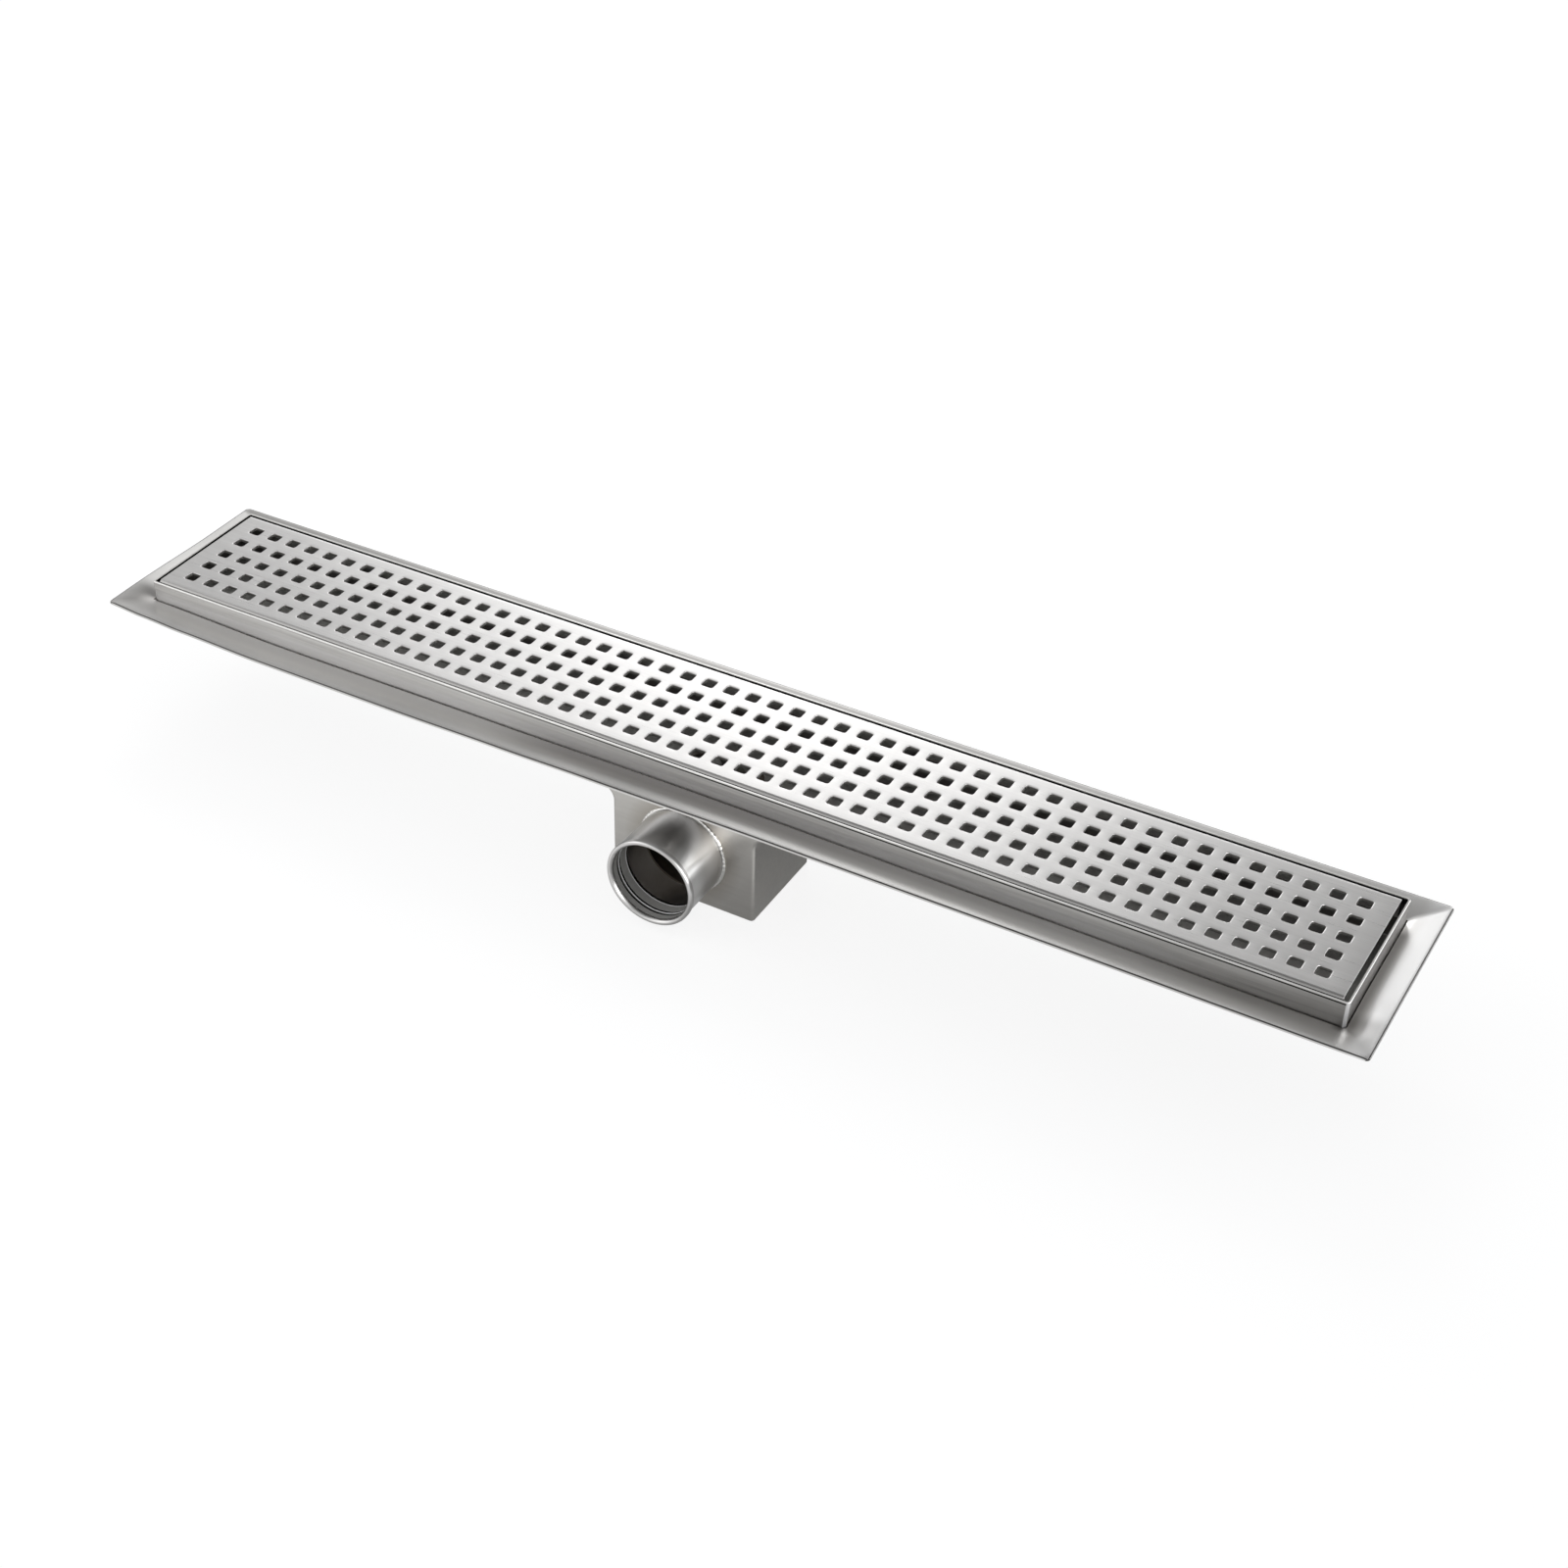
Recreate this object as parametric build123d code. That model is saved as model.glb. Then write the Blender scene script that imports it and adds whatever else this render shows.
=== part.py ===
from build123d import *
import os
from math import sqrt

# Linear shower drain in stainless sheet, in millimetres, with +Z up.
# X runs along the channel and the outlet points to -Y.
# The origin is on the centre lines of the cover, level with the underside of the trap box.

# Perforated cover
cover_top = 84.5
cover_length = 700.0
cover_width = 84.6
cover_sheet = 2.0
cover_bend = 3.0
cover_skirt = 11.0
hole_size = 7.2
hole_pitch_x = 13.4
hole_pitch_y = 14.6
hole_border = 8.0

# Channel body, folded from one sheet
channel_sheet = 1.2
cover_end_gap = 1.6
cover_side_gap = 0.2
rim_drop = 1.0
channel_depth = 28.0
floor_fall = 3.0
floor_landing = 110.0
channel_corner = 2.0
channel_fold = 1.5

# Collar, the dished flange round the channel
collar_sheet = 1.2
collar_side = 19.5
collar_end = 17.4
collar_below_rim = 12.7
collar_rise = 2.2
collar_crown = 1.7
collar_bend = 1.8
collar_leg = 6.0
collar_corner = 2.5

# Trap box
box_length = 86.0
box_depth = 60.7
box_sheet = 1.2
box_corner = 2.0
box_flare = 8.0

# Outlet stub, its weld and its seal
outlet_radius = 25.0
outlet_wall = 1.5
outlet_length = 34.3
outlet_height = 31.0
lip_wall = 2.0
lip_length = 2.5
lip_taper = 1.5
lip_round = 0.9
weld_leg = 2.0
weld_bevel = 0.8
seal_setback = 7.4
seal_length = 8.6
seal_wall = 0.5
seal_lip_height = 0.45
seal_lip_length = 1.4

# Odour trap: seat ring, drop tube, O-ring and cup
seat_room = 0.65
seat_wall = 2.0
seat_lip = 2.5
seat_sheet = 1.2
fit_clearance = 0.3
tube_flange = 3.5
tube_flange_height = 1.6
tube_collar_height = 5.7
tube_cone_height = 3.0
tube_radius = 18.5
tube_wall = 1.3
tube_end_height = 20.0
groove_offset = 1.1
groove_height = 2.6
groove_depth = 1.6
oring_sides = 8
cup_wall = 1.3
cup_top_gap = 2.0
cup_floor_height = 13.0
rib_count = 3
rib_width = 2.5

# Hair strainer in the mouth of the drop tube, with its knob
strainer_rim = 2.2
strainer_ledge = 1.8
strainer_sheet = 0.8
strainer_wall_gap = 1.0
strainer_hole = 3.2
strainer_ring_step = 6.75
strainer_ring_count = 2
strainer_first_count = 6
knob_stem = 2.0
knob_reach = 12.0
knob_head = 5.0
knob_head_height = 2.5

# Cover rests, four to a side, each with a rubber pad
rest_count = 4
rest_setback = 88.0
rest_length = 20.0
rest_width = 7.0
rest_sheet = 1.5
rest_gusset = 9.0
pad_height = 1.5
pad_length = 14.0
pad_width = 5.6

# Worked out from the sizes above
hole_columns = 1 + int((cover_length - hole_size - 2 * hole_border) / hole_pitch_x)
hole_rows = 1 + int((cover_width - hole_size - 2 * hole_border) / hole_pitch_y)
inner_x = cover_length / 2 + cover_end_gap
inner_y = cover_width / 2 + cover_side_gap
outer_x = inner_x + channel_sheet
outer_y = inner_y + channel_sheet
rim_height = cover_top - rim_drop
floor_under = rim_height - channel_depth
floor_top = floor_under + channel_sheet
collar_level = rim_height - collar_below_rim
pad_top = cover_top - cover_skirt
rest_top = pad_top - pad_height
rest_reach = cover_length / 2 - rest_setback
rest_spacing = 2 * rest_reach / (rest_count - 1)
trap_y = box_depth / 2 - outer_y
outlet_bore = outlet_radius - outlet_wall
outlet_mouth = -outer_y - outlet_length
seat_outer = box_depth / 2 - box_sheet - seat_room - seat_lip
seat_bore = seat_outer - seat_wall
tube_collar = seat_bore - fit_clearance
tube_bore = tube_radius - tube_wall
groove_floor = tube_collar - groove_depth
groove_top = floor_top - groove_offset
collar_low = floor_top - tube_collar_height
collar_bore = groove_floor - tube_wall
cone_low = collar_low - tube_cone_height
cup_top = cone_low - cup_top_gap
strainer_seat = floor_top + tube_flange_height - strainer_ledge
strainer_floor = collar_low + tube_wall + fit_clearance
arc_share = 1 - sqrt(0.5)


def turned(points):
    """A ring turned round the upright axis of the trap, from (radius, height) points."""
    outline = Polyline(*points, close=True)
    ring = revolve(make_face(Plane.XZ * outline), Axis.Z)
    return Pos(0, trap_y, 0) * ring


def make_cover():
    """Flat plate with both long edges turned down, punched with a rectangular grid of holes."""
    under = cover_top - cover_sheet
    low = cover_top - cover_skirt
    hollow_width = cover_width - 2 * cover_sheet
    outside = Pos(0, 0, (cover_top + low) / 2) * Box(cover_length, cover_width, cover_skirt)
    outside = fillet(outside.edges().filter_by(Axis.X).group_by(Axis.Z)[-1], cover_bend)
    hollow = Pos(0, 0, (under + low) / 2) * Box(cover_length, hollow_width, under - low)
    hollow = fillet(hollow.edges().filter_by(Axis.X).group_by(Axis.Z)[-1], cover_bend - cover_sheet)
    grid = GridLocations(hole_pitch_x, hole_pitch_y, hole_columns, hole_rows)
    pattern = Sketch() + [place * Rectangle(hole_size, hole_size) for place in grid]
    punch = extrude(Pos(0, 0, under - cover_sheet) * pattern, 3 * cover_sheet)
    return outside - hollow - punch


def channel_block(inset, top):
    """The channel as a solid block, inset by a sheet thickness for its inside."""
    half_x = outer_x - inset
    half_y = outer_y - inset
    landing = floor_landing / 2
    low = floor_under + inset
    profile = Polyline(
        (-half_x, top), (-half_x, low + floor_fall), (-landing, low), (landing, low),
        (half_x, low + floor_fall), (half_x, top), close=True)
    block = extrude(make_face(Plane.XZ * profile), half_y, both=True)
    block = fillet(block.edges().filter_by(Axis.Z), channel_corner - inset)
    fold_top = low + floor_fall + channel_fold / 2
    lower = [e for e in block.edges() if e.bounding_box().max.Z < fold_top]
    creases = [e for e in lower if abs(abs(e.center().X) - landing) < channel_fold]
    return fillet([e for e in lower if e not in creases], channel_fold - inset)


def make_channel():
    """Open trough with a floor that falls from both ends to a level landing over the trap."""
    body = channel_block(0, rim_height) - channel_block(channel_sheet, rim_height + channel_depth)
    return body - Pos(0, trap_y, floor_top) * Cylinder(seat_outer, 4 * channel_sheet)


def leg_section(wall):
    """Turned-down inner edge of the collar, standing on the channel's wall."""
    foot = collar_level - collar_leg
    bend_low = collar_level - collar_bend
    under = collar_level - collar_sheet
    inner_bend = collar_bend - collar_sheet
    outer_mid = (wall + collar_bend * arc_share, collar_level - collar_bend * arc_share)
    inner_mid = (wall + collar_sheet + inner_bend * arc_share, under - inner_bend * arc_share)
    near = wall + collar_sheet
    far = wall + collar_bend
    return Wire([
        Line((wall, foot), (wall, bend_low)),
        ThreePointArc((wall, bend_low), outer_mid, (far, collar_level)),
        Line((far, collar_level), (far, under)),
        ThreePointArc((far, under), inner_mid, (near, bend_low)),
        Line((near, bend_low), (near, foot)),
        Line((near, foot), (wall, foot))])


def dish_section(wall, width):
    """Face of the collar: a shallow arch that rises from the channel and is nearly level at its edge."""
    near = wall + collar_bend
    far = wall + width
    middle = (near + far) / 2
    crown = collar_level + collar_crown
    under = collar_level - collar_sheet
    edge = collar_level + collar_rise
    edge_under = edge - collar_sheet
    return Wire([
        Bezier((near, collar_level), (middle, crown), (far, edge)),
        Line((far, edge), (far, edge_under)),
        Bezier((far, edge_under), (middle, crown - collar_sheet), (near, under)),
        Line((near, under), (near, collar_level))])


def mitred_ring(side_section, end_section, near_x, near_y, far_x, far_y):
    """A section carried round a rectangle in four straight runs that meet at the corners' diagonals."""
    side_plan = Polyline((-near_x, near_y), (near_x, near_y), (far_x, far_y), (-far_x, far_y), close=True)
    end_plan = Polyline((near_x, -near_y), (near_x, near_y), (far_x, far_y), (far_x, -far_y), close=True)
    side_run = extrude(make_face(Plane.YZ * side_section), far_x, both=True)
    end_run = extrude(make_face(Plane.XZ * end_section), far_y, both=True)
    side = side_run & extrude(make_face(side_plan), cover_top)
    end = end_run & extrude(make_face(end_plan), cover_top)
    return [side, mirror(side, Plane.XZ), end, mirror(end, Plane.YZ)]


def make_collar():
    """Pressed collar for the sealing membrane, creased at its four corners."""
    bend_x = outer_x + collar_bend
    bend_y = outer_y + collar_bend
    edge_x = outer_x + collar_end
    edge_y = outer_y + collar_side
    legs = mitred_ring(leg_section(outer_y), leg_section(outer_x), outer_x, outer_y, bend_x, bend_y)
    dish = mitred_ring(
        dish_section(outer_y, collar_side), dish_section(outer_x, collar_end), bend_x, bend_y, edge_x, edge_y)
    collar = Part() + legs + dish
    corners = [e for e in collar.edges().filter_by(Axis.Z) if abs(e.center().X) > bend_x]
    return fillet(corners, collar_corner)


def box_block(inset, top):
    """The trap box as a solid block with sides that flare out under the channel's floor."""
    half = box_length / 2 - inset
    radius = box_flare + inset
    start = floor_under - box_sheet - box_flare
    centre = box_length / 2 + box_flare
    end = start + radius
    shift = radius * sqrt(0.5)
    outline = Wire([
        Line((-half, inset), (half, inset)),
        Line((half, inset), (half, start)),
        ThreePointArc((half, start), (centre - shift, start + shift), (centre, end)),
        Line((centre, end), (centre, top)),
        Line((centre, top), (-centre, top)),
        Line((-centre, top), (-centre, end)),
        ThreePointArc((-centre, end), (shift - centre, start + shift), (-half, start)),
        Line((-half, start), (-half, inset))])
    half_depth = box_depth / 2 - inset
    block = extrude(make_face(Plane.XZ * outline), half_depth, both=True)
    outer_edges = [e for e in block.edges() if abs(abs(e.center().Y) - half_depth) < 0.01]
    contour = [e for e in outer_edges if inset < e.center().Z < end and e.bounding_box().size.Z > radius / 2]
    return Pos(0, trap_y, 0) * fillet(contour, box_corner - inset)


def make_trap_box():
    """Sump below the channel, its front in one plane with the channel's front wall."""
    inside = box_block(box_sheet, rim_height)
    shell = box_block(0, floor_under) - inside
    seam_width = box_length + 2 * (box_flare - box_corner)
    seam_place = Pos(0, channel_fold / 2 - outer_y, floor_under + channel_fold / 2)
    seam = seam_place * Box(seam_width, channel_fold, channel_fold) - channel_block(0, rim_height)
    opening = Pos(0, -outer_y, outlet_height) * Rot(90, 0, 0) * Cylinder(outlet_bore, 4 * box_sheet)
    return shell + seam - opening


def make_outlet_pipe():
    """Round stub, bevelled where it is welded to the front, with a thick rounded lip at its mouth."""
    root = -outer_y
    lip_back = outlet_mouth + lip_length
    lip_bore = outlet_radius - lip_wall
    face = make_face(Polyline(
        (outlet_bore, root), (outlet_radius - weld_bevel, root), (outlet_radius, root - weld_leg),
        (outlet_radius, outlet_mouth), (lip_bore, outlet_mouth), (lip_bore, lip_back),
        (outlet_bore, lip_back + lip_taper), close=True))
    face = fillet(face.vertices().group_by(Axis.Y)[0], lip_round)
    return Pos(0, 0, outlet_height) * revolve(face, Axis.Y)


def make_outlet_weld():
    """Weld that fills the stub's bevel and leads out to the front plate."""
    root = -outer_y
    inner = outlet_radius - weld_bevel
    outer = outlet_radius + weld_leg
    face = make_face(Polyline((inner, root), (outer, root), (outlet_radius, root - weld_leg), close=True))
    return Pos(0, 0, outlet_height) * revolve(face, Axis.Y)


def make_outlet_seal():
    """Rubber ring inside the mouth, with a sealing lip at each end."""
    front = outlet_mouth + seal_setback
    back = front + seal_length
    band = outlet_bore - seal_wall
    crest = band - seal_lip_height
    half_lip = seal_lip_length / 2
    face = make_face(Polyline(
        (outlet_bore, front), (band, front), (crest, front + half_lip), (band, front + seal_lip_length),
        (band, back - seal_lip_length), (crest, back - half_lip), (band, back), (outlet_bore, back),
        close=True))
    return Pos(0, 0, outlet_height) * revolve(face, Axis.Y)


def make_seat_ring():
    """Ring welded into the floor's round opening, which the odour trap seals in."""
    wide = seat_outer + seat_lip
    low = floor_under - seat_sheet
    return turned([
        (seat_bore, low), (wide, low), (wide, floor_under),
        (seat_outer, floor_under), (seat_outer, floor_top), (seat_bore, floor_top)])


def make_drop_tube():
    """Moulded tube that carries the water down into the cup, hung by its flange in the seat ring."""
    top = floor_top + tube_flange_height
    flange = seat_bore + tube_flange
    mouth = collar_bore + strainer_rim - fit_clearance
    groove_low = groove_top - groove_height
    return turned([
        (mouth, top), (flange, top), (flange, floor_top), (tube_collar, floor_top), (tube_collar, groove_top),
        (groove_floor, groove_top), (groove_floor, groove_low), (tube_collar, groove_low),
        (tube_collar, collar_low), (tube_radius, cone_low), (tube_radius, tube_end_height),
        (tube_bore, tube_end_height), (tube_bore, cone_low + tube_wall),
        (collar_bore, collar_low + tube_wall), (collar_bore, strainer_seat), (mouth, strainer_seat)])


def make_tube_oring():
    """O-ring in the tube's groove, pressed flat on the groove's floor and on the seat ring's bore."""
    half = (seat_bore - groove_floor) / 2
    section = Rot(0, 0, 180 / oring_sides) * RegularPolygon(half, oring_sides, major_radius=False)
    place = Pos(seat_bore - half, groove_top - groove_height / 2)
    return Pos(0, trap_y, 0) * revolve(Plane.XZ * place * section, Axis.Z)


def make_trap_cup():
    """Cup that holds the water seal round the tube's end, gripping the tube with inner ribs."""
    radius = tube_collar
    inside = radius - cup_wall
    low = cup_floor_height + cup_wall
    cup = turned([
        (0, cup_floor_height), (radius, cup_floor_height), (radius, cup_top),
        (inside, cup_top), (inside, low), (0, low)])
    reach = inside + cup_wall / 2
    rib = Box(reach - tube_bore, rib_width, cup_top - low)
    rib = Pos((tube_bore + reach) / 2, 0, (low + cup_top) / 2) * rib
    rib = rib - Pos(0, 0, tube_end_height + cup_top / 2) * Cylinder(tube_radius, cup_top)
    turns = [Rot(0, 0, number * 360 / rib_count) for number in range(rib_count)]
    return cup + [Pos(0, trap_y, 0) * turn * rib for turn in turns]


def make_hair_strainer():
    """Pressed dish with round holes that hangs by its rim in the mouth of the drop tube."""
    wall = collar_bore - strainer_wall_gap
    wall_inside = wall - strainer_sheet
    rim = collar_bore + strainer_rim - 2 * fit_clearance
    rim_top = strainer_seat + strainer_sheet
    floor = strainer_floor
    floor_inside = floor + strainer_sheet
    dish = turned([
        (0, floor), (wall, floor), (wall, strainer_seat), (rim, strainer_seat), (rim, rim_top),
        (wall_inside, rim_top), (wall_inside, floor_inside), (0, floor_inside)])
    drill = Cylinder(strainer_hole / 2, 4 * strainer_sheet)
    holes = []
    for ring in range(1, strainer_ring_count + 1):
        for place in PolarLocations(ring * strainer_ring_step, ring * strainer_first_count):
            holes.append(Pos(0, trap_y, floor) * place * drill)
    return dish - holes


def make_strainer_knob():
    """Turned knob on the strainer's floor, for lifting it out."""
    foot = strainer_floor + strainer_sheet
    neck = foot + knob_reach
    top = neck + knob_head_height
    return turned([
        (0, foot), (knob_stem, foot), (knob_stem, neck), (knob_head, neck), (knob_head, top), (0, top)])


def make_cover_rest():
    """Tab welded to the channel's back wall with a gusset under it, at X = 0."""
    under = rest_top - rest_sheet
    web_reach = inner_y - rest_width + rest_sheet
    tab = Box(rest_length, rest_width, rest_sheet)
    tab = Pos(0, inner_y - rest_width / 2, rest_top - rest_sheet / 2) * tab
    web = Polyline((inner_y, under), (web_reach, under), (inner_y, under - rest_gusset), close=True)
    return tab + extrude(make_face(Plane.YZ * web), rest_sheet / 2, both=True)


def make_rest_pad():
    """Rubber pad on a rest, under the cover's turned-down edge, at X = 0."""
    across = cover_width / 2 - pad_width / 2
    return Pos(0, across, rest_top + pad_height / 2) * Box(pad_length, pad_width, pad_height)


def save(name, shape):
    """Write one piece to its own file."""
    shape.label = name
    export_step(shape, f"parts/{name}.step")


os.makedirs("parts", exist_ok=True)
save("cover", make_cover())
save("channel", make_channel())
save("collar", make_collar())
save("trap_box", make_trap_box())
save("outlet_pipe", make_outlet_pipe())
save("outlet_weld", make_outlet_weld())
save("outlet_seal", make_outlet_seal())
save("seat_ring", make_seat_ring())
save("drop_tube", make_drop_tube())
save("tube_oring", make_tube_oring())
save("trap_cup", make_trap_cup())
save("hair_strainer", make_hair_strainer())
save("strainer_knob", make_strainer_knob())

rest = make_cover_rest()
pad = make_rest_pad()
for number in range(rest_count):
    for side, half_turn in (("back", 0), ("front", 180)):
        place = Pos(number * rest_spacing - rest_reach, 0, 0) * Rot(0, 0, half_turn)
        save(f"cover_rest_{side}_{number + 1}", place * rest)
        save(f"rest_pad_{side}_{number + 1}", place * pad)
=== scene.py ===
import bmesh
import bpy
import numpy as np
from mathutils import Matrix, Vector


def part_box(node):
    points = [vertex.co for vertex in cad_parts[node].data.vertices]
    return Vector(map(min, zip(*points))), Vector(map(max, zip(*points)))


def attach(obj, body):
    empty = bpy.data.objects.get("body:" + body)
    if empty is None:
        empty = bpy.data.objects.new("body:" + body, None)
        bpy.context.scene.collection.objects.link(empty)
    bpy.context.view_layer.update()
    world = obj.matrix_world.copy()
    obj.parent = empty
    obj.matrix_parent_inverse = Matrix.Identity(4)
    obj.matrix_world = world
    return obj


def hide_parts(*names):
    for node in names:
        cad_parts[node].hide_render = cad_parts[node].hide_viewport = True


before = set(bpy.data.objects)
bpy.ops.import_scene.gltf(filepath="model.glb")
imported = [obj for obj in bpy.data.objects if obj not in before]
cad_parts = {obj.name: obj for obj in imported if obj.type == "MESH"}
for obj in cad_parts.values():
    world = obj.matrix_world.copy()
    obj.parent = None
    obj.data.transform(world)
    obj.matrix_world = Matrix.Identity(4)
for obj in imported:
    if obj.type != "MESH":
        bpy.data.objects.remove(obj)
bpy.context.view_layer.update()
scene = bpy.context.scene
scene.view_settings.view_transform = "Standard"

# Camera
# The drain is seen from above its right front corner, through a short telephoto lens.
# The frame is a crop that lies a little to the right of the lens's axis.
eye = Vector((0.5395, -0.9503, 0.8537))
aim = Vector((-0.0081, -0.0657, 0.0845))
roll = np.radians(-0.46)
camera = bpy.data.objects.new("camera", bpy.data.cameras.new("camera"))
scene.collection.objects.link(camera)
camera.location = eye
camera.rotation_euler = (aim - eye).to_track_quat("-Z", "Y").to_euler()
camera.rotation_euler.rotate_axis("Z", roll)
camera.data.sensor_width = 36.0
camera.data.lens = 58.5
camera.data.shift_x = 0.0875
camera.data.clip_start = 0.02
camera.data.clip_end = 50.0
scene.camera = camera

# Studio
# A pale floor and a white backdrop, with two soft lamps. The metal mirrors a tent of white cloth,
# brighter behind on the left, where the softbox stands, and dim where the camera and its operator are.


def linear(code):
    """Linear colour of an sRGB hex value such as "c8c8c4"."""
    channels = np.array([int(code[i:i + 2], 16) for i in (0, 2, 4)]) / 255
    return (*np.where(channels > 0.04045, ((channels + 0.055) / 1.055) ** 2.4, channels / 12.92), 1.0)


def add(tree, kind, inputs=None, **settings):
    """Add a node, set its properties, and give each input named in inputs a value or a link."""
    node = tree.nodes.new(kind)
    for name, value in settings.items():
        setattr(node, name, value)
    for name, value in (inputs or {}).items():
        if isinstance(value, bpy.types.NodeSocket):
            tree.links.new(value, node.inputs[name])
        else:
            node.inputs[name].default_value = value
    return node


def seen_directly(tree):
    """1 on rays from the camera and on mirrored or refracted ones, and 0 on the rest."""
    path = add(tree, "ShaderNodeLightPath").outputs
    gloss = add(tree, "ShaderNodeMath", {
        0: path["Is Glossy Ray"], 1: path["Is Transmission Ray"]}, operation="MAXIMUM")
    return add(tree, "ShaderNodeMath", {
        0: path["Is Camera Ray"], 1: gloss.outputs[0]}, operation="MAXIMUM").outputs[0]


def empty_material(name):
    """A material with no nodes, and its node tree."""
    material = bpy.data.materials.new(name)
    material.use_nodes = True
    material.node_tree.nodes.clear()
    return material, material.node_tree


ambient_light = 0.7
backdrop_light = 1.0
world = bpy.data.worlds.new("white_backdrop")
world.use_nodes = True
world.node_tree.nodes.clear()
scene.world = world
world.cycles.sampling_method = "NONE"
tree = world.node_tree
ambient = add(tree, "ShaderNodeBackground", {"Color": linear("f4f5f7"), "Strength": ambient_light})
backdrop = add(tree, "ShaderNodeBackground", {"Color": linear("ffffff"), "Strength": backdrop_light})
mix = add(tree, "ShaderNodeMixShader", {
    0: seen_directly(tree), 1: ambient.outputs[0], 2: backdrop.outputs[0]})
add(tree, "ShaderNodeOutputWorld", {"Surface": mix.outputs[0]})

# Matt studio paper: it takes the drain's soft shadow, and its own glow keeps the rest of it white.
floor_half = 6.0
floor_drop = 0.0005
glow_seen = 0.83
glow_bounced = 0.45
floor_mesh = bpy.data.meshes.new("floor")
floor_corners = [(x * floor_half, y * floor_half, 0) for x, y in ((-1, -1), (1, -1), (1, 1), (-1, 1))]
floor_mesh.from_pydata(floor_corners, [], [(0, 1, 2, 3)])
floor = bpy.data.objects.new("floor", floor_mesh)
scene.collection.objects.link(floor)
floor.location.z = -floor_drop
floor.visible_glossy = False
material, tree = empty_material("white_floor_paper")
paper = add(tree, "ShaderNodeBsdfDiffuse", {"Color": linear("818181")})
glow = add(tree, "ShaderNodeEmission", {"Color": linear("ffffff"), "Strength": glow_seen})
bounce = add(tree, "ShaderNodeEmission", {"Color": linear("ffffff"), "Strength": glow_bounced})
lift = add(tree, "ShaderNodeMixShader", {
    0: seen_directly(tree), 1: bounce.outputs[0], 2: glow.outputs[0]})
both = add(tree, "ShaderNodeAddShader", {0: paper.outputs[0], 1: lift.outputs[0]})
add(tree, "ShaderNodeOutputMaterial", {"Surface": both.outputs[0]})
material.cycles.emission_sampling = "NONE"
floor_mesh.materials.append(material)

# White cloth that only glows, as strongly as the attribute at each of its points says.
cloth_material, tree = empty_material("tent_cloth")
glow = add(tree, "ShaderNodeAttribute", attribute_name="glow")
cloth = add(tree, "ShaderNodeEmission", {"Color": linear("ffffff"), "Strength": glow.outputs["Fac"]})
add(tree, "ShaderNodeOutputMaterial", {"Surface": cloth.outputs[0]})
cloth_material.cycles.emission_sampling = "NONE"


def reflector(name, points, level):
    """A cloth that only the metal mirrors, from a grid of points in metres and the light given at each."""
    index = np.arange(level.size).reshape(level.shape)
    faces = np.stack([index[:-1, :-1], index[:-1, 1:], index[1:, 1:], index[1:, :-1]], axis=-1).reshape(-1, 4)
    mesh = bpy.data.meshes.new(name)
    mesh.from_pydata(points.reshape(-1, 3), [], faces.tolist())
    mesh.attributes.new("glow", "FLOAT", "POINT").data.foreach_set("value", level.ravel())
    mesh.materials.append(cloth_material)
    sheet = bpy.data.objects.new(name, mesh)
    scene.collection.objects.link(sheet)
    sheet.visible_camera = sheet.visible_diffuse = sheet.visible_shadow = False
    sheet.visible_transmission = sheet.visible_volume_scatter = False


# Each patch of the tent: its bearing from straight back, elevation, half width and half height in
# degrees, and its light. The tent is half a ball, lit by the sum of the patches, each of which fades
# as a bell curve.
tent_patches = (
    (-25.8, 30.5, 13.5, 10.5, 2.5),
    (-32, 15, 12, 7, 2.0),
    (-12, 25, 55, 24, 0.35),
    (-10, 3, 32, 8, 4.2),
    (-120, 26, 45, 27, 1.6),
    (180, 45, 60, 20, 0.45),
    (95, 12, 46, 26, 4.8),
)
tent_radius = 3.0
tent_base = 0.2
turn, rise = np.meshgrid(np.linspace(-180, 180, 181), np.linspace(0, 90, 46))
level = np.full(turn.shape, tent_base)
for bearing, elevation, wide, high, light in tent_patches:
    across = (turn - bearing + 180) % 360 - 180
    level += light * np.exp(-(across / wide) ** 2 - ((rise - elevation) / high) ** 2)
bearing, elevation = np.radians(turn), np.radians(rise)
dome = [np.cos(elevation) * np.sin(bearing), np.cos(elevation) * np.cos(bearing), np.sin(elevation)]
reflector("light_tent", tent_radius * np.stack(dome, axis=-1), level)

# What the metal mirrors of the floor: bright in front, and dim close to the drain, which shades it.
# Each bright patch: its place, its radius in metres, and its light. The cloth's points crowd together
# round the drain, by a hyperbolic sine.
cloth_patches = ((-0.12, -0.12, 0.12, 0.62), (0.1, -0.075, 0.035, 0.7))
cloth_half = 3.0
cloth_middle = -0.08
cloth_drop = 0.0004
crowding = 5
shaded_light = 0.2
open_light = 0.55
shade_end = -0.1
shade_blur = 0.03
fine = np.sinh(np.linspace(-crowding, crowding, 201)) * cloth_half / np.sinh(crowding)
across, along = np.meshgrid(fine, fine + cloth_middle)
level = shaded_light + open_light * np.clip((shade_end - along) / shade_blur, 0, 1)
for x, y, radius, light in cloth_patches:
    level += light * np.exp(-((across - x) ** 2 + (along - y) ** 2) / radius ** 2)
level = np.minimum(level, 1.0)
reflector("table_cloth", np.stack([across, along, np.full(across.shape, -cloth_drop)], axis=-1), level)

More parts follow.
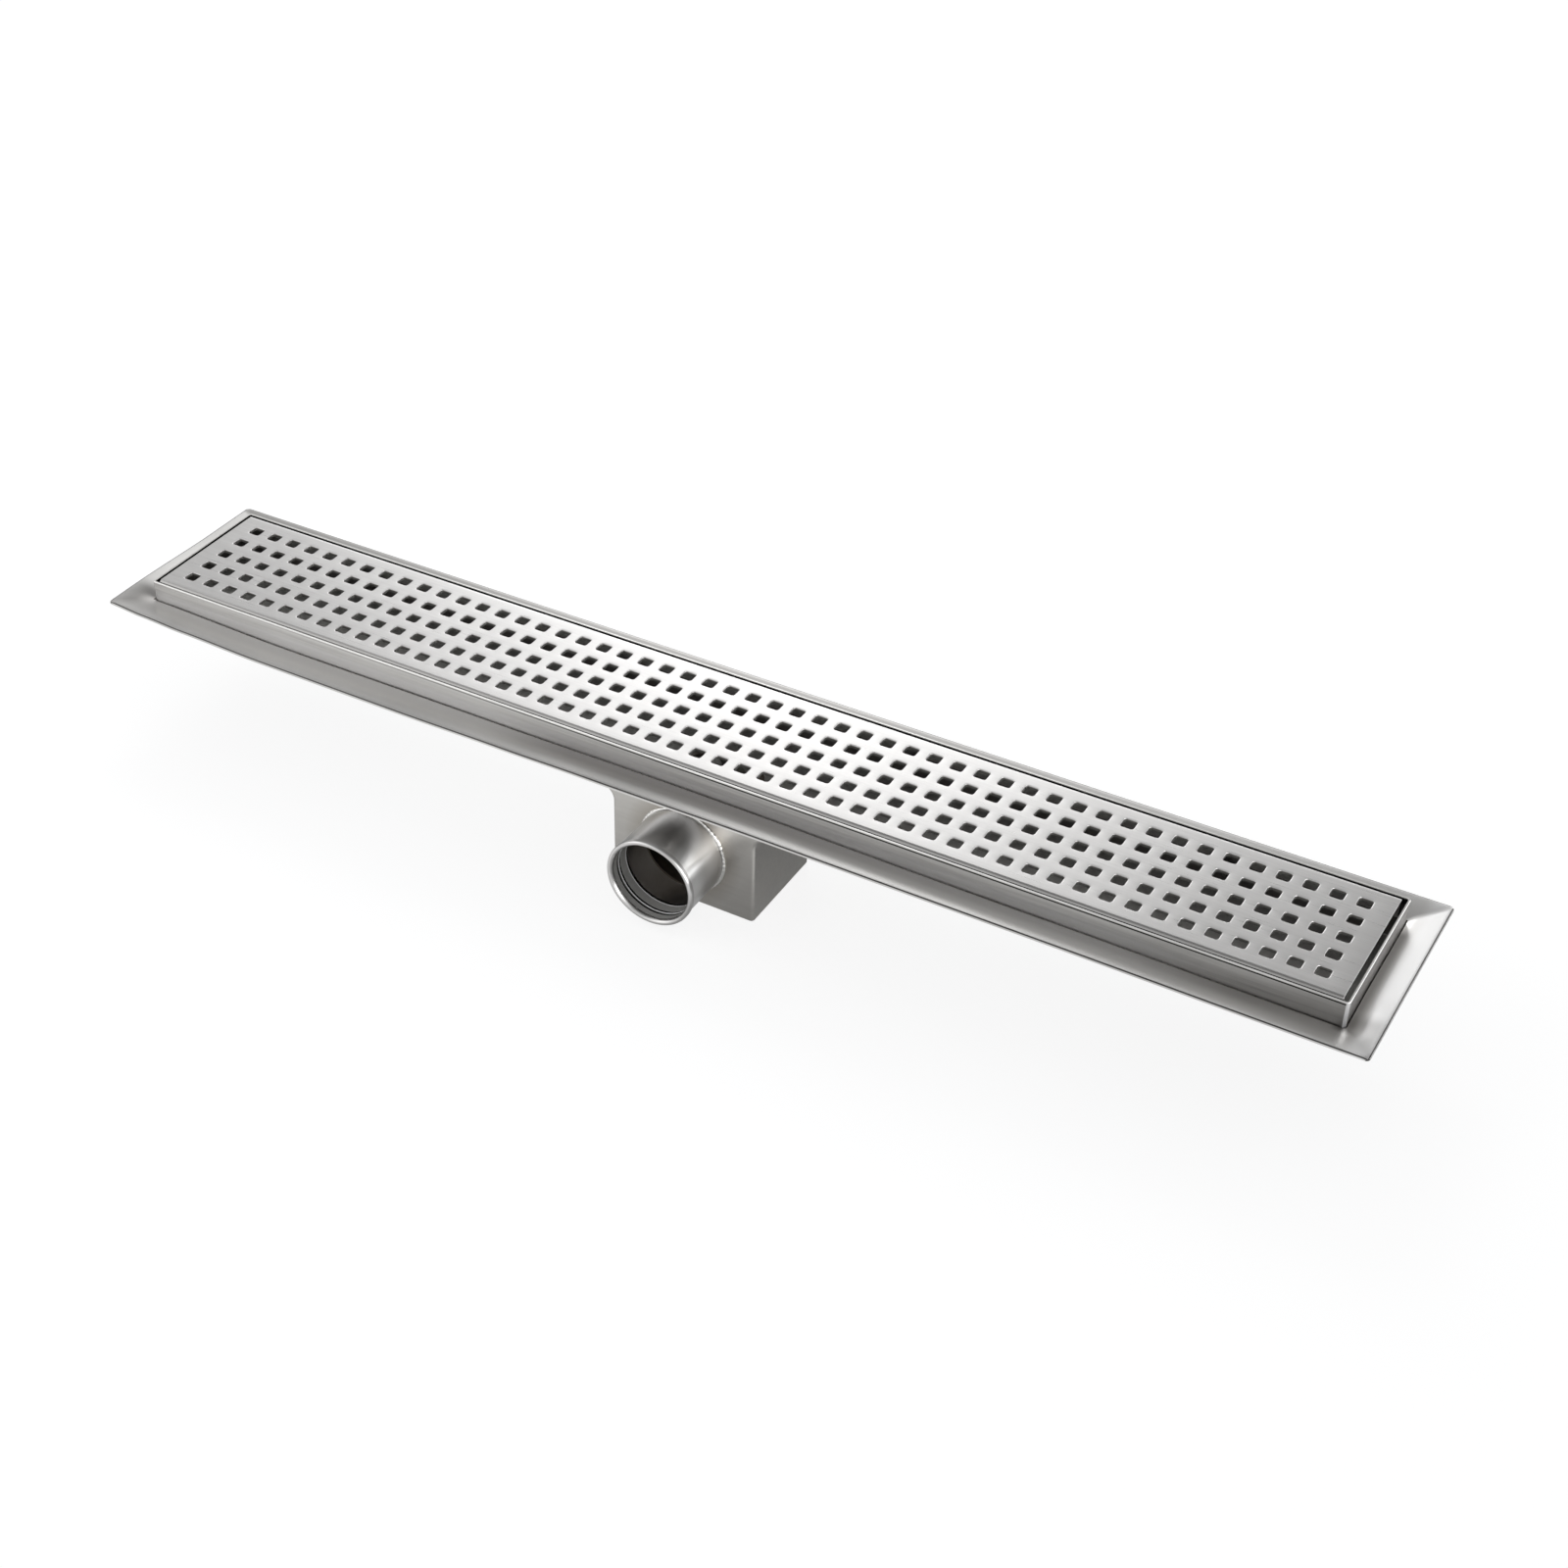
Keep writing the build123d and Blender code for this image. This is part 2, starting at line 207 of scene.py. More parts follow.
# Each lamp: its name, its place and its side in metres, and its power in watts.
lamps = (
    ("softbox_back_left", (-1.1, 1.6, 1.7), 1.2, 14.0),
    ("softbox_front_left", (-1.5, -1.3, 1.6), 1.4, 9.0),
)
for name, place, side, power in lamps:
    lamp = bpy.data.objects.new(name, bpy.data.lights.new(name, "AREA"))
    scene.collection.objects.link(lamp)
    lamp.data.size = side
    lamp.data.energy = power
    lamp.location = place
    lamp.rotation_euler = (-Vector(place)).to_track_quat("-Z", "Y").to_euler()
    lamp.visible_glossy = False

# Perforated cover
# A 2 mm stainless plate, punched with 255 square holes in five rows. Its long edges are folded down,
# so it lifts out as a tray, and it is brushed along its length. Sizes from here on are in mm.
MM = 0.001
cover_sheet = 2.0
cover_fold = 1.9
hole_pitch = np.array([13.4, 14.6])
hole_count = np.array([51, 5])
hole_half = 3.5
hole_corner = 1.1
edge_round = 0.3
# The punch rolled each hole's upper edge over: how far out from the hole, and how far down, step by step.
rollover_width = (0.55, 0.25)
rollover_drop = (0.1, 0.36)
# The cover ends a little short of its box on each side, which leaves the dark gap round it.
side_short = 0.3
right_end_short = 0.8
left_end_short = 1.1
cover_low, cover_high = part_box("cover")
top = cover_high.z / MM
cover_half_x = cover_high.x / MM
cover_half_y = cover_high.y / MM - side_short
cover_skirt = (cover_high.z - cover_low.z) / MM
join_within = 2e-6


def build(name, grids, sharp=50):
    """Join grids of points, each (..., rows, columns, 3) in mm, into a smooth shell with sharp edges."""
    points, faces, start = [], [], 0
    for grid in grids:
        index = np.arange(start, start + grid[..., 0].size).reshape(grid.shape[:-1])
        corners = [index[..., :-1, :-1], index[..., :-1, 1:], index[..., 1:, 1:], index[..., 1:, :-1]]
        faces.append(np.stack(corners, axis=-1).reshape(-1, 4))
        points.append(grid.reshape(-1, 3))
        start += grid[..., 0].size
    mesh = bpy.data.meshes.new(name)
    mesh.from_pydata(np.concatenate(points) * MM, [], np.concatenate(faces).tolist())
    shell = bmesh.new()
    shell.from_mesh(mesh)
    bmesh.ops.remove_doubles(shell, verts=shell.verts, dist=join_within)
    bmesh.ops.recalc_face_normals(shell, faces=shell.faces)
    shell.to_mesh(mesh)
    shell.free()
    mesh.shade_smooth()
    mesh.set_sharp_from_angle(angle=np.radians(sharp))
    piece = bpy.data.objects.new(name, mesh)
    scene.collection.objects.link(piece)
    shading = piece.modifiers.new("flat_faces_stay_flat", "WEIGHTED_NORMAL")
    shading.keep_sharp = True
    shading.weight = 100
    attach(piece, "root")
    return piece


def folded_sheet(x, across, depth):
    """A point of the folded cover: flat to the fold, a quarter turn, then straight down the skirt.

    across is measured along the outer face from the middle, and depth from the outer face into the sheet."""
    flat = cover_half_y - cover_fold
    bend = cover_fold * np.pi / 2
    beyond = np.clip(np.abs(across) - flat, 0, bend)
    angle = beyond / cover_fold
    down = np.clip(np.abs(across) - flat - bend, 0, None)
    y = np.minimum(np.abs(across), flat) + (cover_fold - depth) * np.sin(angle)
    z = top - cover_fold + (cover_fold - depth) * np.cos(angle) - down
    return np.stack(np.broadcast_arrays(x, np.sign(across) * y, z), axis=-1)


# Along each axis: the middles of the holes, and the stations that the plain margins share with the cells.
cell_half = hole_pitch / 2
grid_half = cell_half * hole_count
straight = hole_half - hole_corner
centres, stations = [], []
for axis in (0, 1):
    centre = (np.arange(hole_count[axis]) - (hole_count[axis] - 1) / 2) * hole_pitch[axis]
    cell_side = np.array([-cell_half[axis], -straight, 0, straight])
    centres.append(centre)
    stations.append(np.append((centre[:, None] + cell_side).ravel(), grid_half[axis]))

# One punched cell: sixteen rays from the cell's border to the rounded hole, over the rolled edge and down.
around_border = np.array([
    (-straight, -1), (0, -1), (straight, -1), (1, -1), (1, -straight), (1, 0), (1, straight), (1, 1),
    (straight, 1), (0, 1), (-straight, 1), (-1, 1), (-1, straight), (-1, 0), (-1, -straight), (-1, -1),
    (-straight, -1)])
on_side = np.abs(around_border) == 1
border = np.where(on_side, around_border * cell_half, around_border)
hole_anchor = np.where(on_side, around_border * straight, around_border)
side_out = np.where(on_side, around_border, 0)
on_corner = on_side.all(axis=1)[:, None]
hole_outward = np.where(on_corner, side_out * np.sqrt(0.5), side_out)


def hole_ring(growth):
    """The rounded hole's outline, grown by a distance: corner anchors plus a radius along each ray."""
    return hole_anchor + hole_outward * (hole_corner + growth)


rings = [
    (border, 0), (hole_ring(rollover_width[0]), 0), (hole_ring(rollover_width[1]), rollover_drop[0]),
    (hole_ring(0), rollover_drop[1]), (hole_ring(0), cover_sheet), (border, cover_sheet)]
plan = np.stack([ring for ring, depth in rings])
depth = np.array([depth for ring, depth in rings], float)[:, None]
place = np.stack(np.meshgrid(*centres, indexing="ij"), axis=-1).reshape(-1, 1, 1, 2)
cells = plan[None] + place
cell_grid = folded_sheet(cells[..., 0], cells[..., 1], depth[None])

# The margins: both faces of the sides with their skirts and of the ends, then the rounded rims between
# the faces, and the corners where two rims meet.
fold_start = cover_half_y - cover_fold
fold_end = fold_start + cover_fold * np.pi / 2
skirt_end = fold_end + cover_skirt - cover_fold
margin_across = np.concatenate([
    [grid_half[1]], fold_start + np.linspace(0, 1, 8) * (fold_end - fold_start), [skirt_end - edge_round]])
margin_x = np.concatenate([[-cover_half_x + edge_round], stations[0], [cover_half_x - edge_round]])
end_x = np.array([grid_half[0], cover_half_x - edge_round])
cover_grids = [cell_grid]
for face_depth in (0.0, cover_sheet):
    for side in (-1, 1):
        cover_grids.append(folded_sheet(margin_x[:, None], side * margin_across[None], face_depth))
        cover_grids.append(folded_sheet(side * end_x[:, None], stations[1][None], face_depth))
rim_path = np.array([
    (0, 0), (edge_round, edge_round), (edge_round, cover_sheet - edge_round), (0, cover_sheet)])
whole_across = np.concatenate([-margin_across[::-1], stations[1][1:-1], margin_across])
for side in (-1, 1):
    cover_grids.append(folded_sheet(
        side * (cover_half_x - edge_round + rim_path[:, :1]), whole_across[None], rim_path[:, 1:]))
    cover_grids.append(folded_sheet(
        margin_x[:, None], side * (skirt_end - edge_round + rim_path[None, :, 0]), rim_path[None, :, 1]))
    for end in (-1, 1):
        corner_x = end * (cover_half_x - edge_round + np.array([0, 1])[:, None] * rim_path[None, :, 0])
        corner_across = side * (skirt_end - edge_round + np.array([1, 0])[:, None] * rim_path[None, :, 0])
        cover_grids.append(folded_sheet(corner_x, corner_across, rim_path[None, :, 1]))
past_grid = grid_half[0] + 1
for grid in cover_grids:
    grid[..., 0] += left_end_short * (grid[..., 0] < -past_grid)
    grid[..., 0] -= right_end_short * (grid[..., 0] > past_grid)
cover = build("perforated_cover", cover_grids)
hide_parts("cover")


def steel(name, code, roughness, grain, streak=0.05, bump=0.04, mottle=0.03, along=None, detail=5.0,
          metallic=1.0):
    """Brushed or satin stainless steel. grain is how fast the streaks change along X, Y and Z, per metre.

    Fine streaks change the tone and the roughness a little and ripple the surface, and a slow mottle under
    them stands for the sheet's uneven rolling. The streaks are drawn coarser than a real grain of 0.1 mm,
    which wouldn't show. along is the direction in which what it mirrors is drawn out."""
    material, tree = empty_material(name)
    place = add(tree, "ShaderNodeTexCoord").outputs["Object"]
    stretched = add(tree, "ShaderNodeMapping", {"Vector": place, "Scale": grain}).outputs[0]
    streaks = add(tree, "ShaderNodeTexNoise", {
        "Vector": stretched, "Scale": 1.0, "Detail": detail, "Roughness": 0.65})
    slow = add(tree, "ShaderNodeTexNoise", {"Vector": place, "Scale": 14.0, "Detail": 3.0})
    tone = add(tree, "ShaderNodeMapRange", {
        "Value": streaks.outputs["Fac"], "From Min": 0.3, "From Max": 0.7,
        "To Min": 1 - streak, "To Max": 1 + streak})
    patch = add(tree, "ShaderNodeMapRange", {
        "Value": slow.outputs["Fac"], "From Min": 0.3, "From Max": 0.7,
        "To Min": 1 - mottle, "To Max": 1 + mottle})
    shade = add(tree, "ShaderNodeMath", {0: tone.outputs[0], 1: patch.outputs[0]}, operation="MULTIPLY")
    colour = add(tree, "ShaderNodeMix", {
        "Factor": 1.0, "A": linear(code), "B": shade.outputs[0]}, data_type="RGBA", blend_type="MULTIPLY")
    uneven = min(streak, 0.04)
    rough = add(tree, "ShaderNodeMapRange", {
        "Value": streaks.outputs["Fac"], "From Min": 0.25, "From Max": 0.75,
        "To Min": roughness - uneven, "To Max": roughness + uneven})
    ripple = add(tree, "ShaderNodeBump", {
        "Height": streaks.outputs["Fac"], "Strength": bump, "Distance": 0.0002})
    shader = add(tree, "ShaderNodeBsdfPrincipled", {
        "Base Color": colour.outputs[2], "Metallic": metallic, "Roughness": rough.outputs[0],
        "Normal": ripple.outputs[0]})
    if along:
        across_grain = add(tree, "ShaderNodeCombineXYZ", dict(zip("XYZ", along))).outputs[0]
        tree.links.new(across_grain, shader.inputs["Tangent"])
        shader.inputs["Anisotropic"].default_value = 0.6
    add(tree, "ShaderNodeOutputMaterial", {"Surface": shader.outputs[0]})
    return material


def tinted(material, mask_of, code):
    """Mix another colour into a steel's own, by a mask made from the place and its x, y and z."""
    tree = material.node_tree
    shader = tree.nodes["Principled BSDF"]
    plain = shader.inputs["Base Color"].links[0].from_socket
    place = add(tree, "ShaderNodeTexCoord").outputs["Object"]
    mask = mask_of(tree, place, add(tree, "ShaderNodeSeparateXYZ", {0: place}).outputs)
    mixed = add(tree, "ShaderNodeMix", {"Factor": mask, "A": plain, "B": linear(code)}, data_type="RGBA")
    tree.links.new(mixed.outputs[2], shader.inputs["Base Color"])


def ramp(tree, value, start, end, first, last):
    """first where a length is start, eased to last where it is end, start and end being in mm."""
    return add(tree, "ShaderNodeMapRange", {
        "Value": value, "From Min": start * MM, "From Max": end * MM, "To Min": first, "To Max": last},
        interpolation_type="SMOOTHSTEP").outputs[0]


def times(tree, one, other):
    """The product of two values."""
    return add(tree, "ShaderNodeMath", {0: one, 1: other}, operation="MULTIPLY").outputs[0]


def magnitude(tree, value):
    """A value without its sign."""
    return add(tree, "ShaderNodeMath", {0: value}, operation="ABSOLUTE").outputs[0]


def faces_of(piece):
    """The normals of a piece's faces, and their middles in mm."""
    normals = np.empty(3 * len(piece.data.polygons))
    piece.data.polygons.foreach_get("normal", normals)
    middles = np.empty(3 * len(piece.data.polygons))
    piece.data.polygons.foreach_get("center", middles)
    return normals.reshape(-1, 3), middles.reshape(-1, 3) / MM


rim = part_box("channel")[1].z / MM


def painted_shade_below_rim(tree, place, axes):
    """Painted shade in the slot between the cover and the channel: dark below the rim, and less so on the
    left.
    """
    deep = ramp(tree, axes["Z"], rim - 0.35, rim - 0.05, 1.0, 0.0)
    outside = ramp(tree, magnitude(tree, axes["Y"]), cover_half_y - 1.5, cover_half_y - 0.9, 0.0, 1.0)
    return times(tree, times(tree, deep, outside), ramp(tree, axes["X"], -320, 20, 0.3, 1.0))


def painted_fold_shade(tree, place, axes):
    """Painted shade: a dark band along the outside of the front fold, for the dark that the fold mirrors."""
    upper = ramp(tree, axes["Z"], top - 0.35, top - 0.05, 0.62, 0.0)
    lower = ramp(tree, axes["Z"], top - 1.3, top - 0.75, 0.0, 1.0)
    fold_y = cover_fold - cover_half_y
    front = ramp(tree, axes["Y"], fold_y - 0.3, fold_y, 1.0, 0.0)
    return times(tree, times(tree, upper, lower), front)


# Stainless steel, brushed lengthways: long fine streaks, and reflections that blur to soft bright fields.
brushed = steel("stainless_brushed_lengthways", "d0cfce", 0.3, (22, 700, 700))
# Painted shade: a dark band along the cover's front fold.
tinted(brushed, painted_fold_shade, "6e6c6a")
# Painted shade: the skirt near black in the slot below the channel's rim.
tinted(brushed, painted_shade_below_rim, "1c1a18")
cover.data.materials.append(brushed)
# Where the punch sheared the holes, and where the plate was cut to length, it is matt. The hole walls'
# matt grey is partly painted shade, and the cut ends are painted near black as painted shade for the gap.
for name, code, roughness in (
        ("stainless_sheared_edge", "8e8d8a", 0.6), ("cut_end_painted_shade", "161514", 0.5)):
    cover.data.materials.append(steel(name, code, roughness, (300, 300, 60), streak=0.1))
normals, middles = faces_of(cover)
in_hole = (np.abs(middles[:, :2]) < grid_half).all(axis=1) & (np.abs(normals[:, 2]) < 0.1)
at_end = np.abs(normals[:, 0]) > 0.95
finish = np.where(in_hole, 1, np.where(at_end, 2, 0))
cover.data.polygons.foreach_set("material_index", finish.astype(np.int32))

# Channel
# Folded from 1.2 mm sheet, with rounded corners that were welded and ground flush. Its rim stands 1 mm
# below the cover, its floor falls to a level landing over the trap, and its back wall leans out a little.
channel_low, channel_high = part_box("channel")
channel_under = channel_low.z / MM
channel_half = np.array([channel_high.x, channel_high.y]) / MM
channel_sheet = 1.2
channel_corner = 2.0
channel_fold = 1.5
floor_fall = 3.0
landing_half = 55.0
round_rim = 0.25
inner_foot = 0.3
inside_from = 0.9
back_lean = 1.5
lean_start = 20
trap_y = -13.35
trap_hole = 26.0
shade_line_drop = 1.1


def rounded_loop(side_x, side_y, corner):
    """Stations round a rectangle: an anchor from -1 to 1 on each axis, and the outward direction there."""
    anchors, outward = [], []
    corners = ((1, -1, -90), (1, 1, 0), (-1, 1, 90), (-1, -1, 180))
    for number, (ax, ay, first) in enumerate(corners):
        turned = np.radians(first + np.linspace(0, 90, corner + 1))
        anchors.append(np.tile((ax, ay), (corner + 1, 1)))
        outward.append(np.stack([np.cos(turned), np.sin(turned)], axis=-1))
        bx, by, _ = corners[(number + 1) % 4]
        count = side_x if ay == by else side_y
        share = np.linspace(0, 1, count + 2)[1:-1, None]
        anchors.append((1 - share) * (ax, ay) + share * (bx, by))
        outward.append(np.tile(outward[-1][-1], (count, 1)))
    anchors.append(anchors[0][:1])
    outward.append(outward[0][:1])
    return np.concatenate(anchors), np.concatenate(outward)


def carried(loop, half, radius, height):
    """A profile carried round the loop, each step with its own half size, corner radius and height."""
    anchors, outward = loop
    half, radius = np.asarray(half, float)[:, None], np.asarray(radius, float)
    radius = radius.reshape(len(half), -1, 1)
    plan = anchors * (half - radius) + outward * radius
    return np.concatenate([plan, np.broadcast_to(height, plan.shape[:2])[..., None]], axis=-1)


def floor_height(x):
    """How far the channel's floor has risen at x: level over the trap, then straight up to each end."""
    run = channel_half[0] - channel_sheet - landing_half
    return floor_fall * np.clip((np.abs(x) - landing_half) / run, 0, 1)


# The wall's profile: up the outside of the fold, a row halfway up, four rows round the rim, and two at
# the inner foot.
quarter = np.linspace(0, np.pi / 2, 6)
fold_inset = channel_fold * (1 - np.sin(quarter))
fold_height = channel_fold * (1 - np.cos(quarter))
inset = np.concatenate([
    fold_inset, [0, 0, round_rim, channel_sheet - round_rim, channel_sheet, channel_sheet, channel_fold]])
middle_row = len(quarter)
rim_rows = slice(middle_row + 1, middle_row + 5)
channel_loop = rounded_loop(90, 12, 8)
walls = carried(channel_loop, channel_half - inset[:, None], channel_corner - inset, 0.0)
bottom = channel_under + floor_height(walls[..., 0])
height = np.zeros(walls.shape[:2])
height[:middle_row] = bottom[:middle_row] + fold_height[:, None]
height[middle_row] = 0.5 * (height[middle_row - 1] + rim)
height[rim_rows] = rim - round_rim * np.array([1, 0, 0, 1])[:, None]
height[-2:] = bottom[-2:] + channel_sheet + np.array([inner_foot, 0])[:, None]
walls[..., 2] = height
walls[rim_rows, :, 1] += back_lean * np.clip((walls[rim_rows, :, 1] - lean_start) / lean_start, 0, 1)


def channel_floor(edge, thickness):
    """Rays from the round trap opening out to the wall's fold, level with the sloping floor."""
    direction = edge[:, :2] - (0, trap_y)
    direction = direction / np.linalg.norm(direction, axis=1)[:, None]
    opening = np.array([0, trap_y]) + trap_hole * direction
    share = (np.linspace(0, 1, 14) ** 1.5)[:, None, None]
    plan = (1 - share) * opening + share * edge[:, :2]
    z = channel_under + floor_height(plan[..., 0]) + thickness
    return np.concatenate([plan, z[..., None]], axis=-1)


under = channel_floor(walls[0], 0.0)
over = channel_floor(walls[-1], channel_sheet)
channel = build("folded_channel", [walls, under, over, np.stack([under[0], over[0]])], sharp=40)
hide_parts("channel")


def painted_low_wall_light(tree, place, axes):
    """Painted light: the lower half of the long walls drawn lighter, fading out towards the right end."""
    low = ramp(tree, axes["Z"], rim - 9, rim - 4, 0.8, 0.0)
    return times(tree, low, ramp(tree, axes["X"], 240, 300, 1.0, 0.0))


def painted_right_end_shade(tree, place, axes):
    """Painted shade: the right end drawn darker, all but its rim."""
    end = ramp(tree, axes["X"], 280, 352, 0.0, 0.55)
    return times(tree, end, ramp(tree, axes["Z"], rim - 0.6, rim - 0.2, 1.0, 0.0))


def painted_shade_under_rim(tree, place, axes):
    """Painted shade: a fine dark line just under the rim. It fades to the left."""
    away = add(tree, "ShaderNodeMath", {0: axes["Z"], 1: (rim - shade_line_drop) * MM}, operation="SUBTRACT")
    line = ramp(tree, magnitude(tree, away.outputs[0]), 0.3, 0.5, 1.0, 0.0)
    return times(tree, line, ramp(tree, axes["X"], -300, 20, 0.1, 0.95))


# Stainless steel, brushed and then folded: strong long streaks, which draw out what it mirrors.
folded = steel(
    "stainless_folded_and_brushed", "e6e5e3", 0.34, (14, 600, 600), streak=0.13, bump=0.12, along=(0, -3, 1))
# Painted light: the lower half of the long walls lighter.
tinted(folded, painted_low_wall_light, "ffffff")
# Painted shade: the channel's right end darker, all but its rim.
tinted(folded, painted_right_end_shade, "7a7876")
# Painted shade: a fine near-black line just under the rim.
tinted(folded, painted_shade_under_rim, "1c1a18")
channel.data.materials.append(folded)


def painted_front_floor_light(tree, place, axes):
    """Painted light: the front of the floor drawn lighter, where it shows through the front rows of holes."""
    return ramp(tree, axes["Y"], -4, 10, 0.8, 0.0)


def painted_shade_in_slot(tree, place, axes):
    """Painted shade: the top of the inner walls near black, where it stands in the dark of the slot round the
    cover.
    """
    return ramp(tree, axes["Z"], rim - 6, rim - 3, 0.0, 1.0)


# The protective film is still on the inside, so it mirrors little there and scatters a grey light.
# The inner walls' darker grey is painted shade for the covered inside of the channel.
for name, code, mask_of, other in (
        # Painted light: the front of the floor lighter.
        ("stainless_inside_floor", "b0aeab", painted_front_floor_light, "d8d6d2"),
        # Painted shade: the top of the inner walls near black.
        ("stainless_inside_walls", "7c7976", painted_shade_in_slot, "080808")):
    inside = steel(name, code, 0.5, (14, 300, 300), metallic=0.5)
    tinted(inside, mask_of, other)
    channel.data.materials.append(inside)
# Painted highlight: the right front corner is drawn near white and half metallic, the brightest spot of the
# wall.
channel.data.materials.append(steel("corner_painted_highlight", "ffffff", 0.25, (600, 600, 14), metallic=0.4))
normals, middles = faces_of(channel)
inner_half = channel_half - inside_from
leaning = (normals[:, 1] < -0.5) & (middles[:, 1] > 0) & (middles[:, 1] < inner_half[1] + back_lean)
within = (np.abs(middles[:, 0]) < inner_half[0]) & ((np.abs(middles[:, 1]) < inner_half[1]) | leaning)
inside = within & (normals[:, 2] > -0.5) & (middles[:, 2] < rim - 0.1)
inner_finish = np.where(normals[:, 2] > 0.5, 1, 2)
upright = np.abs(normals[:, 2]) < 0.3
at_corner = (normals[:, 0] > 0.25) & (normals[:, 1] < -0.25) & upright & (middles[:, 1] < 2 - channel_half[1])
finish = np.where(at_corner, 3, inside * inner_finish)
channel.data.polygons.foreach_set("material_index", finish.astype(np.int32))

# Collar
# A thin dished flange that the floor's sealing membrane is bonded to. It was pressed, creased at its
# corners and welded to the channel, so it isn't quite flat: the left front corner is sprung up.
collar_low, collar_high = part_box("collar")
collar_half = np.array([collar_high.x, collar_high.y]) / MM
collar_width = collar_half - channel_half
collar_sheet = 1.2
collar_rise = 2.2
collar_crown = 1.7
collar_level = collar_high.z / MM - collar_rise
collar_bend = 1.3
collar_foot = collar_low.z / MM
collar_corner = 2.5

# How the front edge and the front joint lie above or below the true collar, in mm, from left to right.
# They reach full height at lift_full, and start gently from behind on the left and late on the right.
edge_stations = (-370, -345, -318, -262, -168, -100, -50, 60, 200, 355)
edge_offsets = (1.7, 0.0, -1.2, -2.6, -2.6, -1.9, -1.2, -0.1, 0.0, -0.4)
joint_stations = (-352, -260, -120, 0, 200, 352)
joint_offsets = (0.6, -1.2, -0.4, 0.7, -0.6, -1.6)
lift_full = -43.0
lift_from_left = 30.0
lift_from_right = -20.0
front_swell = 0.35
corner_bulge = (355.8, 40.0, 0.15)
bulge_radius = 2.0
rolled_edge = (1.1, 0.55)
end_step = 0.45
end_step_width = 0.12


def eased(x, stations, offsets):
    """Offsets between stations, each stretch eased in and out by t * t * (3 - 2 t)."""
    spot = np.clip(np.searchsorted(stations, x) - 1, 0, len(stations) - 2)
    left, right = np.take(stations, spot), np.take(stations, spot + 1)
    t = np.clip((x - left) / (right - left), 0, 1)
    first = np.take(offsets, spot)
    return first + (np.take(offsets, spot + 1) - first) * t * t * (3 - 2 * t)


# The section: up the bend at the channel, out over an arch that is a quadratic curve of its crown and its
# rise, down the rolled edge, and back along the underside one sheet lower.
bend_angle = np.linspace(0, np.pi / 2, 6)
dish = np.linspace(0, 1, 14)[1:]
arch = 2 * collar_crown * dish * (1 - dish) + collar_rise * dish ** 2
edge_width = collar_width[1] - collar_bend
rolled = np.radians([30, 60, 90])
roll_out = collar_width[1] - rolled_edge[0] * (1 - np.sin(rolled))
roll_up = arch[-1] - rolled_edge[1] * (1 - np.cos(rolled))
face_run = collar_bend + dish * (edge_width - rolled_edge[0])
face_out = np.concatenate([[0], collar_bend * (1 - np.cos(bend_angle)), face_run, roll_out])
face_up = np.concatenate([
    [collar_foot - collar_level], collar_bend * (np.sin(bend_angle) - 1), arch, roll_up])
inner_bend = collar_bend - collar_sheet
back_out = np.concatenate([
    [collar_sheet], collar_sheet + inner_bend * (1 - np.cos(bend_angle)), collar_bend + dish * edge_width])
back_up = np.concatenate([
    [collar_foot - collar_level], -collar_sheet + inner_bend * (np.sin(bend_angle) - 1), arch - collar_sheet])
out = np.concatenate([face_out, back_out[::-1], face_out[:1]])
up = np.concatenate([face_up, back_up[::-1], face_up[:1]])
share = np.clip(out / collar_width[1], 0, 1)[:, None]
collar_loop = rounded_loop(120, 20, 8)
# The two front corners fan out round the channel's corner, and the two at the back are creased.
fan = out[:, None] * (1 - share ** 4) * (collar_loop[0][None, :, 1] < 0)
# The right end rises in a short step beside the channel, and then evenly.
end_arch = end_step * (1 - np.exp(-dish / end_step_width)) + (collar_rise - end_step) * dish
end_lift = np.interp(out, face_run, end_arch - arch, left=0, right=0)
rightness = np.clip(collar_loop[1][:, 0], 0, 1) * np.clip(1.5 * (collar_loop[0][:, 1] + 1), 0, 1)
corner_radius = channel_corner + share * (collar_corner - channel_corner) + fan
heights = collar_level + up[:, None] + end_lift[:, None] * rightness
collar_grid = carried(collar_loop, channel_half + share * collar_width, corner_radius, heights)
x, y = collar_grid[..., 0], collar_grid[..., 1]
late = np.clip((lift_from_right - y) / (lift_from_right - lift_full), 0, 1)
gentle = np.clip((lift_from_left - y) / (lift_from_left - lift_full), 0, 1)
frontness = np.where(x < 0, gentle * gentle * (3 - 2 * gentle), late)
front_edge = eased(x, edge_stations, edge_offsets)
front_joint = eased(x, joint_stations, joint_offsets)
swell = front_swell * np.sin(np.pi * share)
collar_grid[..., 2] += frontness * (share * front_edge + (1 - share) * front_joint + swell)
bulge_x, bulge_y, bulge_height = corner_bulge
spread = ((x - bulge_x) ** 2 + (y - bulge_y) ** 2) / bulge_radius ** 2
collar_grid[..., 2] += bulge_height * np.exp(-spread)
collar = build("dished_collar", [collar_grid], sharp=40)
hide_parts("collar")


def from_channel(tree, place):
    """How far outside the channel's wall a place lies, in metres."""
    aside = add(tree, "ShaderNodeVectorMath", {0: place}, operation="ABSOLUTE").outputs[0]
    beyond = add(tree, "ShaderNodeVectorMath", {0: aside, 1: (*channel_half * MM, 0)}, operation="SUBTRACT")
    beyond = add(tree, "ShaderNodeSeparateXYZ", {0: beyond.outputs[0]}).outputs
    return add(tree, "ShaderNodeMath", {0: beyond["X"], 1: beyond["Y"]}, operation="MAXIMUM").outputs[0]


